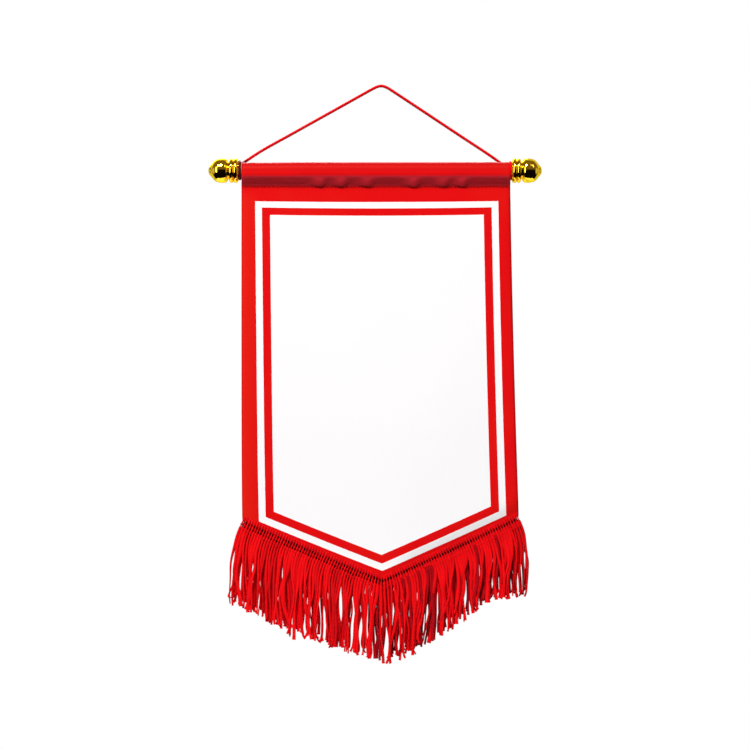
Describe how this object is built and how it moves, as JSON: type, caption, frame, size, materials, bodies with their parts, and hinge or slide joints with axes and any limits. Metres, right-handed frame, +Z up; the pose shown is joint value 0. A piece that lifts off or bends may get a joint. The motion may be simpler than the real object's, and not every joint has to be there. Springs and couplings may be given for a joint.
{
  "type": "hanging pennant",
  "caption": "Hanging pennant: pointed satin cloth with a printed border, sewn over a dowel with gold finials, hung on a cord, with a fringe.",
  "frame": {"origin": "the hook point: the underside of the hanging cord at its peak, where a hook, nail or suction-cup hook carries the pennant", "axes": "+Z up; the printed face looks along -Y; +X to the right of someone who faces the print, along the dowel"},
  "size_m": [0.3088, 0.0228, 0.5378],
  "materials": {
    "cord": "twisted red polyester cord, low sheen",
    "dowel_wood": "plain sanded birch dowel",
    "gold_finial": "mirror-bright gold plating over moulded plastic",
    "red_satin": "woven polyester satin, soft sheen",
    "printed_satin": "woven polyester satin, printed red with a white line and a white panel",
    "interlining": "white non-woven interlining, matt",
    "thread": "red sewing thread",
    "fringe_yarn": "knitted rayon chainette yarn, soft sheen"
  },
  "bodies": {
    "cord": {"hanging_cord": "cord", "left_cord_knot": "cord", "right_cord_knot": "cord"},
    "dowel": {"dowel": "dowel_wood"},
    "left_finial": {"left_finial": "gold_finial"},
    "right_finial": {"right_finial": "gold_finial"},
    "banner": {"rod_sleeve": "red_satin", "front_cloth": "printed_satin", "stiffener": "interlining", "back_cloth": "red_satin", "sleeve_seam_thread": "thread", "fringe_header": "fringe_yarn"},
    "fringe_01": {"fringe_strands_01": "fringe_yarn"},
    "fringe_02": {"fringe_strands_02": "fringe_yarn"},
    "fringe_03": {"fringe_strands_03": "fringe_yarn"},
    "fringe_04": {"fringe_strands_04": "fringe_yarn"},
    "fringe_05": {"fringe_strands_05": "fringe_yarn"},
    "fringe_06": {"fringe_strands_06": "fringe_yarn"},
    "fringe_07": {"fringe_strands_07": "fringe_yarn"},
    "fringe_08": {"fringe_strands_08": "fringe_yarn"},
    "fringe_09": {"fringe_strands_09": "fringe_yarn"},
    "fringe_10": {"fringe_strands_10": "fringe_yarn"},
    "fringe_11": {"fringe_strands_11": "fringe_yarn"},
    "fringe_12": {"fringe_strands_12": "fringe_yarn"}
  },
  "joints": [
    {"name": "dowel_roll", "type": "hinge", "parent": "cord", "child": "dowel", "pos_m": [-0.0055, 0, -0.077], "axis": [1, 0, 0], "continuous": true},
    {"name": "banner_swing", "type": "hinge", "parent": "cord", "child": "banner", "pos_m": [-0.0055, 0, -0.077], "axis": [1, 0, 0], "range_deg": [-120, 50]},
    {"name": "left_finial_pull", "type": "slide", "parent": "dowel", "child": "left_finial", "axis": [-1, 0, 0], "range_m": [0, 0.008]},
    {"name": "right_finial_pull", "type": "slide", "parent": "dowel", "child": "right_finial", "axis": [1, 0, 0], "range_m": [0, 0.008]},
    {"name": "fringe_swing_01", "type": "hinge", "parent": "banner", "child": "fringe_01", "pos_m": [-0.12339, 0, -0.41263], "axis": [1, 0, 0], "range_deg": [-45, 45]},
    {"name": "fringe_swing_02", "type": "hinge", "parent": "banner", "child": "fringe_02", "pos_m": [-0.10195, 0, -0.42199], "axis": [1, 0, 0], "range_deg": [-45, 45]},
    {"name": "fringe_swing_03", "type": "hinge", "parent": "banner", "child": "fringe_03", "pos_m": [-0.08052, 0, -0.43135], "axis": [1, 0, 0], "range_deg": [-45, 45]},
    {"name": "fringe_swing_04", "type": "hinge", "parent": "banner", "child": "fringe_04", "pos_m": [-0.05908, 0, -0.44072], "axis": [1, 0, 0], "range_deg": [-45, 45]},
    {"name": "fringe_swing_05", "type": "hinge", "parent": "banner", "child": "fringe_05", "pos_m": [-0.03765, 0, -0.45008], "axis": [1, 0, 0], "range_deg": [-45, 45]},
    {"name": "fringe_swing_06", "type": "hinge", "parent": "banner", "child": "fringe_06", "pos_m": [-0.01622, 0, -0.45944], "axis": [1, 0, 0], "range_deg": [-45, 45]},
    {"name": "fringe_swing_07", "type": "hinge", "parent": "banner", "child": "fringe_07", "pos_m": [0.00522, 0, -0.45944], "axis": [1, 0, 0], "range_deg": [-45, 45]},
    {"name": "fringe_swing_08", "type": "hinge", "parent": "banner", "child": "fringe_08", "pos_m": [0.02665, 0, -0.45008], "axis": [1, 0, 0], "range_deg": [-45, 45]},
    {"name": "fringe_swing_09", "type": "hinge", "parent": "banner", "child": "fringe_09", "pos_m": [0.04808, 0, -0.44072], "axis": [1, 0, 0], "range_deg": [-45, 45]},
    {"name": "fringe_swing_10", "type": "hinge", "parent": "banner", "child": "fringe_10", "pos_m": [0.06952, 0, -0.43135], "axis": [1, 0, 0], "range_deg": [-45, 45]},
    {"name": "fringe_swing_11", "type": "hinge", "parent": "banner", "child": "fringe_11", "pos_m": [0.09095, 0, -0.42199], "axis": [1, 0, 0], "range_deg": [-45, 45]},
    {"name": "fringe_swing_12", "type": "hinge", "parent": "banner", "child": "fringe_12", "pos_m": [0.11239, 0, -0.41263], "axis": [1, 0, 0], "range_deg": [-45, 45]}
  ]
}
